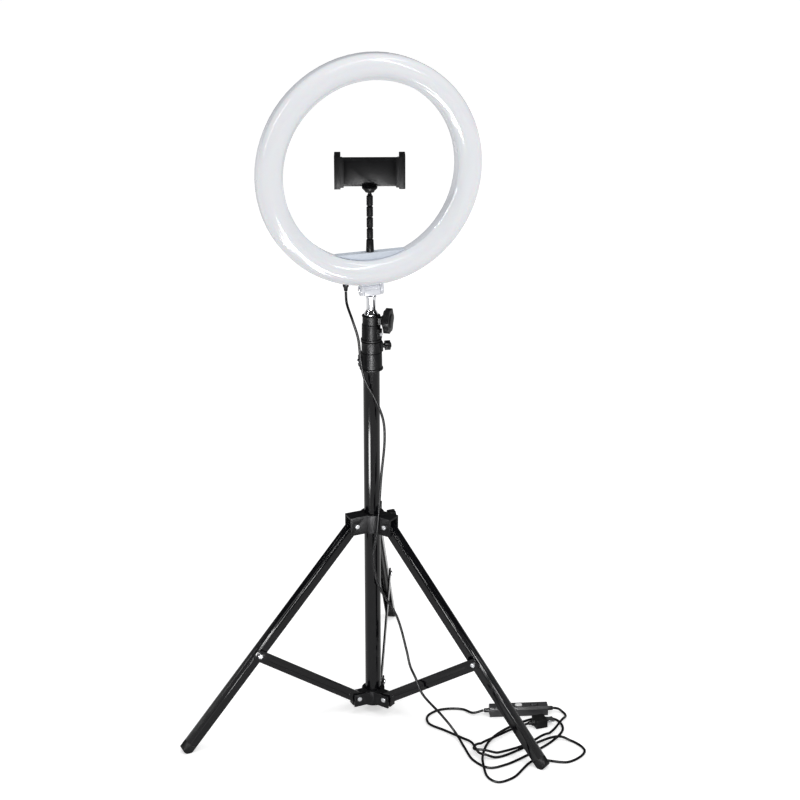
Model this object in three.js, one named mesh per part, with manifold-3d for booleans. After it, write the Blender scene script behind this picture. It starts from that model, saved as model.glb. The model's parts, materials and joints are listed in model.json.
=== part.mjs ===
// Ring light on a folding three-leg stand. Millimetres, +Z up, the light faces -Y.
import * as THREE from 'three';
import { mergeVertices } from 'three/addons/utils/BufferGeometryUtils.js';
import Module from 'manifold-3d';

const wasm = await Module();
wasm.setup();

// ---- Driving dimensions ----
const gap = 0.3;                       // air left between pieces that touch
const columnX = 13.6;                  // column axis, measured from the origin
const columnY = -56.4;
const rearLegAzimuth = 84.3;           // degrees, the other two legs follow at 120 degrees
const headYaw = 18.7;                  // the ring is turned a little to the right

const ring = { z: 776, outer: 150, inner: 117, front: -4, back: 12, wall: 2, dome: -17 };
const shelf = { top: -107, front: -3, back: 9, socket: 3.3, depth: 9 };
const hinge = { z: -156.5, knuckle: 6, half: 10.7, cheek: 4.2, depth: 14, bottom: -163.5, pin: 1.8 };
const neckY = 3;                       // the gooseneck stands behind the middle of the ring
const neck = { bottom: -90, length: 58, radius: 4, segments: 4, joint: 0.9 };
const clamp = { bottom: -21, plate: 36, jaw: 43, halfWidth: 37, back: 10, front: -14, travel: 28 };
const tube = { outer: 11, mid: 9.5, top: 8, wall: 1.2, bottom: 14.6 };
const columnTop = { outer: 534, mid: 571, top: 584 };
const lowerCollar = { bottom: 509.5, step: 533, top: 548.4 };
const upperCollar = { bottom: 549.6, step: 571.6, top: 583.6 };
const hub = { pivotR: 27, pivotZ: 290, bottom: 277, top: 303, plate: 3, lobe: 36, half: 10 };
const base = { pivotZ: 26, bottom: 14, top: 32, lobe: 34, cheek: 2.4 };
const leg = { half: 7, centre: 2.5, bottom: -7, wall: 1.2, angle: 41.35, footR: 8.25 };
const strut = { along: 219, half: 8, thick: 2.4, air: 0.4 };
const pinR = 2;
const holeR = pinR + gap;
const cord = { radius: 1.75, steps: 62, tailSteps: 24 };
const radians = THREE.MathUtils.degToRad;

// ---- Finishes ----
const finishes = {
  white: { color: 0xf2f3f6, roughness: 0.28, metalness: 0 },
  diffuser: { color: 0xe9eaf0, roughness: 0.18, metalness: 0 },
  board: { color: 0xdfe2da, roughness: 0.6, metalness: 0 },
  plastic: { color: 0x111214, roughness: 0.42, metalness: 0 },
  paint: { color: 0x0b0b0d, roughness: 0.22, metalness: 0.1 },
  rubber: { color: 0x0d0d0e, roughness: 0.8, metalness: 0 },
  chrome: { color: 0xd9dade, roughness: 0.12, metalness: 1 },
  zinc: { color: 0xc9cbcf, roughness: 0.3, metalness: 1 },
  button: { color: 0xe8e8e8, roughness: 0.5, metalness: 0 },
};
const materials = Object.fromEntries(
  Object.entries(finishes).map(([name, look]) => [name, new THREE.MeshStandardMaterial(look)]));

// ---- Solid helpers ----
function solid(geometry) {
  const bare = geometry.clone();
  bare.deleteAttribute('normal');
  bare.deleteAttribute('uv');
  const merged = mergeVertices(bare, 1e-4);
  return new wasm.Manifold(new wasm.Mesh({
    numProp: 3,
    vertProperties: new Float32Array(merged.attributes.position.array),
    triVerts: new Uint32Array(merged.index.array),
  }));
}

function surface(body) {
  const mesh = body.getMesh();
  const geometry = new THREE.BufferGeometry();
  geometry.setAttribute('position', new THREE.BufferAttribute(mesh.vertProperties, 3));
  geometry.setIndex(new THREE.BufferAttribute(mesh.triVerts, 1));
  return geometry;
}

function carve(whole, added, removed) {
  let body = solid(whole);
  for (const piece of added) body = body.add(solid(piece));
  for (const piece of removed) body = body.subtract(solid(piece));
  return surface(body);
}

// Spins a closed outline of [radius, height] points round +Z.
function turned(outline, segments = 32) {
  const points = outline.map(([r, z]) => new THREE.Vector2(r, z));
  if (THREE.ShapeUtils.area(points) < 0) points.reverse();
  if (outline[0][0] > 0) points.push(points[0].clone());
  return new THREE.LatheGeometry(points, segments).rotateX(Math.PI / 2);
}

// A plain rod along +Z, from z0 to z1.
function rod(radius, z0, z1, segments = 20) {
  return turned([[0, z0], [radius, z0], [radius, z1], [0, z1]], segments);
}

function block(x0, x1, y0, y1, z0, z1) {
  const box = new THREE.BoxGeometry(Math.abs(x1 - x0), Math.abs(y1 - y0), Math.abs(z1 - z0));
  return box.translate((x0 + x1) / 2, (y0 + y1) / 2, (z0 + z1) / 2);
}

function aimedAlongX(geometry) {
  return geometry.rotateY(Math.PI / 2);
}

function aimedAlongY(geometry) {
  return geometry.rotateX(-Math.PI / 2);
}

// Extrudes an outline drawn in X and Z along +Y, from y0 to y1.
function slab(shape, y0, y1, curveSegments = 10) {
  const options = { depth: y1 - y0, bevelEnabled: false, curveSegments };
  return new THREE.ExtrudeGeometry(shape, options).rotateX(Math.PI / 2).translate(0, y1, 0);
}

// Extrudes an outline drawn in Y and Z along +X, from x0 to x1.
function rail(shape, x0, x1, curveSegments = 10) {
  const options = { depth: x1 - x0, bevelEnabled: false, curveSegments };
  const turn = new THREE.Matrix4().makeBasis(
    new THREE.Vector3(0, 1, 0), new THREE.Vector3(0, 0, 1), new THREE.Vector3(1, 0, 0));
  return new THREE.ExtrudeGeometry(shape, options).applyMatrix4(turn).translate(x0, 0, 0);
}

const stand = new THREE.Group();
stand.position.set(columnX, columnY, 0);

function place(parent, name, finish, geometry) {
  const mesh = new THREE.Mesh(geometry, materials[finish]);
  mesh.name = name;
  parent.add(mesh);
  return mesh;
}

function frameAt(parent, x, y, z, yaw = 0) {
  const group = new THREE.Group();
  group.position.set(x, y, z);
  group.rotation.z = radians(yaw);
  parent.add(group);
  return group;
}

// ---- Ring head: front is -Y ----
const ringSegments = 72;

function ringTurned(outline) {
  return aimedAlongY(turned(outline, ringSegments));
}

function hingeCheek(side) {
  const inside = hinge.half + gap;
  const outline = new THREE.Shape();
  const half = hinge.depth / 2 + 1;
  outline.moveTo(-half, -ring.outer + 1.2);
  outline.lineTo(-half, hinge.z);
  outline.absarc(0, hinge.z, half, Math.PI, 2 * Math.PI, false);
  outline.lineTo(half, -ring.outer + 1.2);
  const cheek = rail(outline, side > 0 ? inside : -inside - hinge.cheek,
    side > 0 ? inside + hinge.cheek : -inside, 8);
  return carve(cheek, [], [aimedAlongX(rod(hinge.pin + gap, -20, 20))]);
}

function rearShell() {
  const { outer, inner, front, back, wall } = ring;
  const round = 4;
  const inFront = front - 3;
  const channel = ringTurned([
    [outer, front], [outer, back - round], [outer - 1.2, back - 1.2], [outer - round, back],
    [inner + round, back], [inner + 1.2, back - 1.2], [inner, back - round], [inner, inFront],
    [inner + wall, inFront], [inner + wall, back - round], [inner + round + 0.4, back - wall],
    [outer - round - 0.4, back - wall], [outer - wall, back - round], [outer - wall, front],
  ]);
  const pinHole = aimedAlongX(rod(hinge.pin + gap, -20, 20)).translate(0, 0, hinge.z);
  const lightAir = aimedAlongY(rod(outer + gap, -30, front, ringSegments));
  return carve(carve(hingeCheek(-1), [hingeCheek(1)], [lightAir]), [channel], [pinHole]);
}

function diffuser() {
  const { outer, inner, front, dome } = ring;
  const edge = front - gap;
  const shell = new THREE.CubicBezierCurve(
    new THREE.Vector2(outer, edge), new THREE.Vector2(outer - 1, dome - 1),
    new THREE.Vector2(inner + 10, dome - 6), new THREE.Vector2(inner, edge - 3));
  const lining = new THREE.CubicBezierCurve(
    new THREE.Vector2(inner + 2, edge - 3), new THREE.Vector2(inner + 10.6, dome - 3),
    new THREE.Vector2(outer - 3, dome + 1.5), new THREE.Vector2(outer - 2, edge));
  const outline = [...shell.getPoints(8), ...lining.getPoints(8)].map((p) => [p.x, p.y]);
  return ringTurned(outline);
}

function ledBoard() {
  const lift = ring.back - ring.wall - gap;
  const boardFront = lift - 1.6;
  const board = ringTurned([[122, boardFront], [144, boardFront], [144, lift], [122, lift]]);
  const lamps = [];
  const count = 24;
  for (let i = 0; i < count; i++) {
    const lamp = block(131.5, 135, boardFront - 1.4, boardFront + 0.2, -1.75, 1.75);
    lamps.push(lamp.rotateY((2 * Math.PI * i) / count));
  }
  return carve(board, lamps, []);
}

function mountShelf() {
  const radius = ring.inner - gap;
  const half = Math.acos(-shelf.top / radius);
  const outline = new THREE.Shape();
  outline.absarc(0, 0, radius, -Math.PI / 2 - half, -Math.PI / 2 + half, false);
  outline.closePath();
  const socket = rod(shelf.socket, shelf.top - shelf.depth + 1, shelf.top + 1).translate(0, neckY, 0);
  return carve(slab(outline, shelf.front, shelf.back, 12), [], [socket]);
}

const gland = { x: -33, y: 4, tip: -157, root: -145 };

function cableGland() {
  const body = turned([[0, gland.tip], [2.3, gland.tip], [3, gland.tip + 5], [3.9, gland.tip + 6],
    [4.3, gland.root], [0, gland.root]], 16).translate(gland.x, gland.y, 0);
  const shellAir = ringTurned([[0, -30], [ring.outer + gap, -30], [ring.outer + gap, 30], [0, 30]]);
  return carve(body, [], [shellAir]);
}

function tiltBlock() {
  const { half, knuckle, bottom } = hinge;
  const outline = new THREE.Shape();
  const depth = hinge.depth / 2;
  outline.moveTo(-depth, bottom);
  outline.lineTo(depth, bottom);
  outline.lineTo(depth, hinge.z);
  outline.lineTo(knuckle, hinge.z);
  outline.absarc(0, hinge.z, knuckle, 0, Math.PI, false);
  outline.lineTo(-depth, hinge.z);
  outline.closePath();
  const body = rail(outline, -half, half, 10);
  const pinHole = aimedAlongX(rod(hinge.pin + gap, -20, 20)).translate(0, 0, hinge.z);
  return carve(body, [], [pinHole, rod(3.4, bottom - 1, bottom + 4.6)]);
}

function tiltPin() {
  const end = hinge.half + hinge.cheek + 2 * gap;
  const outline = [[0, -end - 1.8], [3, -end - 1.6], [3.6, -end], [hinge.pin, -end],
    [hinge.pin, end], [3.6, end], [3, end + 1.6], [0, end + 1.8]];
  return aimedAlongX(turned(outline, 16)).translate(0, 0, hinge.z);
}

const head = frameAt(stand, 0, 0, ring.z, headYaw);
place(head, 'rear_shell', 'white', rearShell());
place(head, 'diffuser', 'diffuser', diffuser());
place(head, 'led_board', 'board', ledBoard());
place(head, 'mount_shelf', 'white', mountShelf());
place(head, 'cable_gland', 'rubber', cableGland());
place(head, 'tilt_block', 'white', tiltBlock());
place(head, 'tilt_pin', 'zinc', tiltPin());

// ---- Gooseneck and telephone clamp, in the middle of the ring ----
const holder = frameAt(head, 0, neckY, 0);

function gooseneckFerrule() {
  const top = neck.bottom - gap;
  const foot = shelf.top + gap;
  return turned([[0, foot - 7], [2.9, foot - 7], [2.9, foot], [5, foot], [5.2, foot + 2],
    [4.7, top - 1], [4, top], [0, top]], 20);
}

function neckLink(from, to) {
  const { radius } = neck;
  const waist = radius - 0.8;
  return turned([[0, from], [waist, from], [radius, from + 0.5], [radius, to - 0.5],
    [waist, to], [0, to]], 20);
}

place(holder, 'gooseneck_ferrule', 'plastic', gooseneckFerrule());
const linkLength = neck.length / neck.segments;
for (let i = 0; i < neck.segments; i++) {
  const from = neck.bottom + i * linkLength + neck.joint / 2;
  place(holder, `gooseneck_${i + 1}`, 'plastic', neckLink(from, from + linkLength - neck.joint));
}

const neckTop = neck.bottom + neck.length;
const swivelZ = neckTop + 5;

function swivelBall() {
  return turned([[0, neckTop + 0.4], [3, neckTop + 0.4], [2.6, neckTop + 1.6], [2.2, swivelZ - 2.4],
    [3.4, swivelZ - 0.8], [3.6, swivelZ], [3, swivelZ + 2], [1.5, swivelZ + 3.2],
    [0, swivelZ + 3.6]], 20);
}

function swivelCup() {
  const top = clamp.bottom - gap;
  return turned([[0, top], [10, top], [10, top - 1.6], [6.5, swivelZ + 0.6], [6, swivelZ - 0.8],
    [4.6, swivelZ - 0.8], [4.6, swivelZ + 3], [3, swivelZ + 4.2], [0, swivelZ + 4.2]], 24);
}

place(holder, 'swivel_ball', 'plastic', swivelBall());
place(holder, 'swivel_cup', 'plastic', swivelCup());

// A jaw seen from above is an L with a short lip; sign says which side it stands on.
function jaw(sign, inner) {
  const { bottom, back, front } = clamp;
  const height = clamp.jaw;
  const side = [inner, inner + 8];
  const wall = block(sign * side[0], sign * side[1], front, back, bottom, bottom + height);
  const lip = block(sign * (side[0] - 4), sign * (side[0] + 2), front, front + 3,
    bottom + 2, bottom + height - 2);
  return [wall, lip];
}

function clampBody() {
  const { bottom, plate, halfWidth, back } = clamp;
  const top = bottom + plate;
  const slab0 = block(-halfWidth, halfWidth, 1, back, bottom, top);
  const tongueWay = block(-28, halfWidth + 1, 3.6, 7.4, bottom + 7, top - 7);
  const screwWay = rod(2.6, bottom - 1, bottom + 5);
  const seat = block(-32, 32, 0.2, 1.2, bottom + 3, top - 3);
  return carve(slab0, [...jaw(-1, halfWidth - 0.2), seat], [tongueWay, screwWay]);
}

function clampJaw() {
  const { bottom, plate, halfWidth } = clamp;
  const tongue = block(-24, halfWidth + 2, 4, 7, bottom + 7.4, bottom + plate - 7.4);
  const [wall, lip] = jaw(1, halfWidth + gap);
  return carve(wall, [lip, tongue], []);
}

function jawPad(sign) {
  const inner = clamp.halfWidth + (sign < 0 ? -0.2 : gap) - gap;
  return block(sign * (inner - 1.6), sign * inner, clamp.front + 3 + gap, 1 - gap,
    clamp.bottom + 4, clamp.bottom + clamp.jaw - 4);
}

const phoneFrame = frameAt(holder, 0, 0, 0, -headYaw);
place(phoneFrame, 'clamp_body', 'plastic', clampBody());
place(phoneFrame, 'clamp_jaw', 'plastic', clampJaw());
place(phoneFrame, 'jaw_pad_fixed', 'rubber', jawPad(-1));
place(phoneFrame, 'jaw_pad_moving', 'rubber', jawPad(1));

// ---- Column ----
function pipe(radius, z0, z1) {
  const inner = radius - tube.wall;
  return turned([[inner, z0], [radius, z0], [radius, z1], [inner, z1]]);
}

function spigot() {
  const top = columnTop.top;
  const plug = tube.top - tube.wall - gap;
  const under = ring.z + hinge.bottom;
  return turned([[0, top - 16], [plug, top - 16], [plug, top + gap], [9.4, top + gap],
    [9.4, top + 2.2], [6.4, top + 7], [6, top + 9], [6, under - 7], [7.2, under - 3],
    [7.2, under - gap], [3.1, under - gap], [3.1, under + 3.8], [0, under + 3.8]], 24);
}

place(stand, 'spigot', 'chrome', spigot());
place(stand, 'top_tube', 'paint', pipe(tube.top, 60, columnTop.top));
place(stand, 'mid_tube', 'paint', pipe(tube.mid, 40, columnTop.mid));
place(stand, 'outer_tube', 'paint', pipe(tube.outer, tube.bottom, columnTop.outer));

const lugReach = 3;

// A clamping collar: a wide skirt on the outer tube, a neck on the inner one, and an ear for its knob.
function collar(spec, skirtR, neckR, outerTube, innerTube, earReach, earAzimuth, lugAzimuth) {
  const { bottom, step, top } = spec;
  const seat = step + 1.2;
  const shell = turned([[outerTube + gap, bottom], [skirtR + 1.2, bottom], [skirtR + 1.2, bottom + 2],
    [skirtR, bottom + 3], [skirtR - 0.3, step], [neckR, step + 0.6], [neckR, top - 1.6],
    [neckR + 0.8, top - 1], [neckR + 0.8, top], [innerTube + gap, top], [innerTube + gap, seat],
    [outerTube + gap, seat]]);
  const middle = (step + top) / 2;
  const ear = block(neckR - 1.6, neckR + earReach, -4.6, 4.6, step + 1, top - 1.8);
  const earHole = aimedAlongX(rod(holeR, neckR + 1, neckR + 8)).translate(0, 0, middle);
  const boltEar = carve(ear, [], [earHole]).rotateZ(radians(earAzimuth));
  const lug = block(skirtR - 1.8, skirtR + lugReach, -3.2, 3.2, bottom + 5, step - 4);
  const lugHole = aimedAlongX(rod(1.6, skirtR + 0.4, skirtR + 5)).translate(0, 0, (bottom + step) / 2);
  const lugBody = carve(lug, [], [lugHole]).rotateZ(radians(lugAzimuth));
  return carve(shell, [boltEar, lugBody], []);
}

function lugScrew(skirtR, middle) {
  const seat = skirtR + lugReach + gap;
  const outline = [[0, skirtR + 0.8], [1.3, skirtR + 0.8], [1.3, seat], [3, seat],
    [2.6, seat + 1.3], [0, seat + 1.8]];
  return aimedAlongX(turned(outline, 16)).translate(0, 0, middle);
}

// A lobed knob whose stud runs into the ear at its back.
function starKnob(radius, lobes, depth, stem, standoff) {
  const outline = new THREE.Shape();
  const points = [];
  const count = lobes * 8;
  for (let i = 0; i < count; i++) {
    const turn = (2 * Math.PI * i) / count;
    const r = radius * (1 - 0.07 * (1 - Math.cos(lobes * turn)));
    points.push(new THREE.Vector2(r * Math.cos(turn), r * Math.sin(turn)));
  }
  outline.setFromPoints(points);
  const grip = rail(outline, 0, depth);
  const root = aimedAlongX(turned([[0, -stem], [pinR, -stem], [pinR, -standoff],
    [radius * 0.42, -standoff], [radius * 0.5, 0.2], [0, 0.2]], 20));
  const cap = aimedAlongX(turned([[0, depth - 0.2], [radius * 0.6, depth - 0.2],
    [radius * 0.5, depth + 1.4], [0, depth + 1.8]], 20));
  return carve(grip, [root, cap], []);
}

const upperKnob = { azimuth: -15, reach: 18.7, radius: 17, lobes: 6, depth: 8, stem: 6, standoff: 3.6 };
const lowerKnob = { azimuth: 10, reach: 18, radius: 6.8, lobes: 8, depth: 7, stem: 4, standoff: 2.4 };
const hubKnob = { azimuth: 24.3, reach: 24, radius: 7.4, lobes: 8, depth: 9, stem: 11, standoff: 4 };

function placeKnob(name, spec, z) {
  const frame = frameAt(stand, 0, 0, z, spec.azimuth);
  const knob = starKnob(spec.radius, spec.lobes, spec.depth, spec.stem, spec.standoff);
  place(frame, name, 'plastic', knob.translate(spec.reach, 0, 0));
}

const upperLug = -38;
const lowerLug = 192;
const skirts = { upper: 12.6, lower: 14.4 };
place(stand, 'upper_collar', 'plastic',
  collar(upperCollar, skirts.upper, 11.4, tube.mid, tube.top, 3, upperKnob.azimuth, upperLug));
place(stand, 'lower_collar', 'plastic',
  collar(lowerCollar, skirts.lower, 12.9, tube.outer, tube.mid, 2.2, lowerKnob.azimuth, lowerLug));
place(frameAt(stand, 0, 0, 0, upperLug), 'upper_lug_screw', 'zinc',
  lugScrew(skirts.upper, (upperCollar.bottom + upperCollar.step) / 2));
place(frameAt(stand, 0, 0, 0, lowerLug), 'lower_lug_screw', 'zinc',
  lugScrew(skirts.lower, (lowerCollar.bottom + lowerCollar.step) / 2));
placeKnob('upper_knob', upperKnob, (upperCollar.step + upperCollar.top) / 2);
placeKnob('lower_knob', lowerKnob, (lowerCollar.step + lowerCollar.top) / 2);

// ---- Hubs ----
const azimuths = [0, 120, 240].map((turn) => rearLegAzimuth + turn);
const strutSides = [-1, 1, -1];        // which side of its leg each strut lies on
const strutY = leg.half + strut.air + strut.thick / 2;
const sleeveR = 16;
const slotStart = 15.6;

function sleeve(z0, z1) {
  return turned([[tube.outer + gap, z0], [sleeveR, z0], [sleeveR, z1], [tube.outer + gap, z1]]);
}

function crossHole(z, y0, y1) {
  return rod(holeR, y0, y1).rotateX(-Math.PI / 2).translate(hub.pivotR, 0, z);
}

function slidingHub() {
  const { bottom, top, plate, lobe, half } = hub;
  const lobes = [];
  for (const azimuth of azimuths) {
    const arm = block(8, lobe, -half, half, bottom, top);
    const slot = block(slotStart, lobe + 5, -leg.half - strut.air, leg.half + strut.air,
      bottom - 5, top - plate);
    const relief = block(-15, 15, -half - 1, half + 1, -15, 0)
      .rotateY(radians(-35)).translate(lobe + 4, 0, bottom + 3);
    lobes.push(carve(arm, [], [slot, relief, crossHole(hub.pivotZ, -20, 20)])
      .rotateZ(radians(azimuth)));
  }
  const bore = rod(tube.outer + gap, bottom - 5, top + 5, 32);
  const studHole = aimedAlongX(rod(holeR, 11, 20)).translate(0, 0, hub.pivotZ + 3)
    .rotateZ(radians(hubKnob.azimuth));
  return carve(sleeve(bottom, top), lobes, [bore, studHole]);
}

function baseHub() {
  const { bottom, top, lobe, cheek, pivotZ } = base;
  const inner = strutY - strut.thick / 2 - strut.air;
  const outer = strutY + strut.thick / 2 + strut.air;
  const lobes = azimuths.map((azimuth, i) => {
    const side = strutSides[i];
    const arm = block(6, lobe, -side * 4, side * (outer + cheek), bottom, top);
    const nose = block(-15, 15, -20, 20, -15, 0).rotateY(radians(-30))
      .translate(lobe + 3, 0, bottom + 1);
    const slot = block(slotStart, lobe + 5, side * inner, side * outer, bottom - 5, top + 5);
    const hole = side > 0 ? crossHole(pivotZ, 2, 20) : crossHole(pivotZ, -20, -2);
    return carve(arm, [], [slot, nose, hole]).rotateZ(radians(azimuth));
  });
  const bore = rod(tube.outer + gap, tube.bottom - gap, top + 5, 32);
  return carve(rod(sleeveR, bottom - 3, top, 32), lobes, [bore]);
}

place(stand, 'sliding_hub', 'plastic', slidingHub());
place(stand, 'base_hub', 'plastic', baseHub());
placeKnob('hub_knob', hubKnob, hub.pivotZ + 3);

// ---- Legs, struts and their pins ----
const legTilt = radians(leg.angle);
const legLength = (hub.pivotZ - leg.footR + 1.25 * Math.sin(legTilt)) / Math.cos(legTilt);

// A channel's outline in Y and Z: flat sides and a half-round top, shrunk by inset.
function channelShape(inset, bottom) {
  const half = leg.half - inset;
  const outline = new THREE.Shape();
  outline.moveTo(-half, bottom);
  outline.lineTo(half, bottom);
  outline.lineTo(half, leg.centre);
  outline.absarc(0, leg.centre, half, 0, Math.PI, false);
  outline.closePath();
  return outline;
}

function legChannel() {
  const end = legLength - 6;
  const outside = rail(channelShape(0, leg.bottom), -4, end, 10);
  const inside = rail(channelShape(leg.wall, leg.bottom - 2), -6, end + 2, 10);
  const pivot = aimedAlongY(rod(holeR, -20, 20));
  return carve(outside, [], [inside, pivot]);
}

function footCap() {
  const start = legLength - 6 + gap;
  const outside = rail(channelShape(0, leg.bottom), start, legLength + 12, 10);
  const plug = rail(channelShape(leg.wall + gap, leg.bottom + 1), start - 14, start + 1, 10);
  const nose = aimedAlongY(rod(leg.footR + 0.35, -20, 20, 48)).translate(legLength, 0, 1.25);
  const floor = block(leg.footR, 30, -20, 20, -30, 30).rotateY(legTilt).translate(legLength, 0, 1.25);
  const behind = block(start - 20, legLength, -20, 20, -20, 20);
  const rounded = solid(outside).intersect(solid(nose).add(solid(behind)));
  return surface(rounded.add(solid(plug)).subtract(solid(floor)));
}

const jointR = hub.pivotR + strut.along * Math.sin(legTilt);
const jointZ = hub.pivotZ - strut.along * Math.cos(legTilt);
const strutLength = Math.hypot(jointR - hub.pivotR, jointZ - base.pivotZ);
const strutTilt = Math.atan2(jointR - hub.pivotR, jointZ - base.pivotZ);

function strutBar() {
  const { half, thick } = strut;
  const outline = new THREE.Shape();
  outline.absarc(0, 0, half, Math.PI / 2, (3 * Math.PI) / 2, false);
  outline.absarc(strutLength, 0, half, -Math.PI / 2, Math.PI / 2, false);
  outline.closePath();
  const cuts = [0, strutLength].map((x) => aimedAlongY(rod(holeR, -5, 5)).translate(x, 0, 0));
  for (const side of [-1, 1]) {
    cuts.push(block(16, strutLength - 16, side * (thick / 2 - 0.7), side * 3, -1.6, 1.6));
  }
  return carve(slab(outline, -thick / 2, thick / 2, 8), [], cuts);
}

// A domed head on each end when both are true, along +Y.
function pin(y0, y1, headAtStart, headAtEnd) {
  const outline = [];
  if (headAtStart) outline.push([0, y0 - 2.2], [3, y0 - 1.8], [4.2, y0], [pinR, y0]);
  else outline.push([0, y0], [pinR, y0]);
  if (headAtEnd) outline.push([pinR, y1], [4.2, y1], [3, y1 + 1.8], [0, y1 + 2.2]);
  else outline.push([pinR, y1], [0, y1]);
  return aimedAlongY(turned(outline, 16));
}

azimuths.forEach((azimuth, i) => {
  const n = i + 1;
  const side = strutSides[i];
  const sector = frameAt(stand, 0, 0, 0, azimuth);

  const legFrame = frameAt(sector, hub.pivotR, 0, hub.pivotZ);
  legFrame.rotation.y = Math.PI / 2 - legTilt;
  place(legFrame, `leg_${n}`, 'paint', legChannel());
  place(legFrame, `foot_${n}`, 'rubber', footCap());
  const legPinEnd = hub.half + gap;
  place(legFrame, `leg_pin_${n}`, 'zinc', pin(-legPinEnd, legPinEnd, true, true));

  const strutFrame = frameAt(sector, hub.pivotR, side * strutY, base.pivotZ);
  strutFrame.rotation.y = strutTilt - Math.PI / 2;
  place(strutFrame, `strut_${n}`, 'paint', strutBar());

  const outside = strut.thick / 2 + strut.air + base.cheek + gap;
  const inside = -strut.thick / 2 - strut.air - 4;
  const basePin = side > 0 ? pin(inside, outside, false, true) : pin(-outside, -inside, true, false);
  place(strutFrame, `strut_pin_${n}`, 'zinc', basePin);

  const face = strut.thick / 2 + gap;
  const stub = -strut.thick / 2;
  const rivet = side > 0 ? pin(stub, face, false, true) : pin(-face, -stub, true, false);
  place(strutFrame, `strut_rivet_${n}`, 'zinc', rivet.translate(strutLength, 0, 0));
});

// ---- Controller and plug on the cord ----
const floorFrame = frameAt(stand, 0, 0, 0);
const controller = { x: 203.5, y: -22, yaw: 3, half: 41, halfDepth: 8.5, height: 14, reach: 8 };
const controllerFrame = frameAt(floorFrame, controller.x, controller.y, 0, controller.yaw);
const buttonXs = [-22, 0, 22];

function controllerCase() {
  const { half, halfDepth, height, reach } = controller;
  const outline = new THREE.Shape();
  outline.moveTo(-halfDepth, 0.4);
  outline.lineTo(halfDepth, 0.4);
  outline.lineTo(halfDepth, height - 3);
  outline.lineTo(halfDepth - 2.4, height);
  outline.lineTo(-halfDepth + 2.4, height);
  outline.lineTo(-halfDepth, height - 3);
  outline.closePath();
  const body = rail(outline, -half, half);
  const relief = (side) => aimedAlongX(turned([[0, 0], [3.4, 0], [3, 1 + reach / 2], [2.3, 1 + reach],
    [0, 1 + reach]], 16)).rotateZ(side > 0 ? 0 : Math.PI).translate(side * (half - 1), 0, height / 2);
  const wells = buttonXs.map((x) => block(x - 5.4, x + 5.4, -3.9, 3.9, height - 4, height + 1));
  return carve(body, [relief(-1), relief(1)], wells);
}

function buttonCap(x) {
  const top = controller.height;
  const shape = new THREE.Shape();
  shape.absarc(-1.6, 0, 3.4, Math.PI / 2, (3 * Math.PI) / 2, false);
  shape.absarc(1.6, 0, 3.4, -Math.PI / 2, Math.PI / 2, false);
  shape.closePath();
  const options = { depth: 3, bevelEnabled: false, curveSegments: 8 };
  return new THREE.ExtrudeGeometry(shape, options).translate(x, 0, top - 2.2);
}

place(controllerFrame, 'controller_case', 'plastic', controllerCase());
['button_power', 'button_colour', 'button_bright'].forEach((name, i) => {
  place(controllerFrame, name, 'button', buttonCap(buttonXs[i]));
});

const plug = { x: 214, y: -60, yaw: 18, radius: 6.2 };
const plugFrame = frameAt(floorFrame, plug.x, plug.y, plug.radius + 0.2, plug.yaw);

function plugBody() {
  const grip = block(9, 26, -9, 9, -plug.radius, plug.radius);
  const relief = aimedAlongX(turned([[0, 0.4], [2.4, 0.4], [3, 5], [4.6, 6], [5, 10], [0, 10]], 16));
  const mouth = block(24, 28, -5.6, 5.6, -1.9, 1.9);
  const corners = [-1, 1].map((side) => block(20, 32, -4, 4, -10, 10)
    .rotateZ(radians(side * 38)).translate(6, side * 12.5, 0));
  return carve(grip, [relief], [mouth, ...corners]);
}

function plugShell() {
  const shell = block(24.6, 38, -5.2, 5.2, -1.6, 1.6);
  return carve(shell, [], [block(30, 40, -4.6, 4.6, -0.1, 1.1)]);
}

place(plugFrame, 'plug_body', 'rubber', plugBody());
place(plugFrame, 'plug_shell', 'zinc', plugShell());

// ---- Cords: each route is a list of points, laid over whatever lies under it already ----
const hangingRoute = [
  [-32.5, -6.8, 617.8], [-31.5, -9, 603], [-24, -18, 582], [-17, -17, 557], [-14, -16, 527],
  [-9, -17, 501], [5, -17, 472], [15, -15, 443], [17, -14, 415], [12, -15, 357], [7, -22, 290],
  [1, -21, 240], [9, -20, 199], [33, -22, 154], [46, -32, 108], [51, -44, 89], [58, -57, 78],
  [67, -69, 60], [92, -72, 30], [104, -76, 16], [112, -84, 8], [118, -96, 3.4],
];
const floorRoute = [
  [123, -112], [134, -146], [154, -165], [176, -158], [203, -138], [245, -98], [262, -66],
  [254, -42], [230, -38], [190, -60], [158, -98], [146, -148], [152, -190], [164, -200],
  [184, -190], [217, -148], [262, -152], [286, -124], [262, -94], [212, -112], [170, -138],
  [146, -140], [133, -102], [100, -70], [77, -50], [76, -30], [94, -13], [125, -12],
];
const tailRoute = [
  [266, -22], [269, -32], [264, -46], [246, -76], [216, -109], [176, -131], [150, -136],
  [136, -130], [138, -118], [163, -96], [193, -70],
];

function sampledPlan(points, spacing) {
  const path = new THREE.CatmullRomCurve3(points, false, 'centripetal');
  return path.getSpacedPoints(Math.round(path.getLength() / spacing));
}

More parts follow.
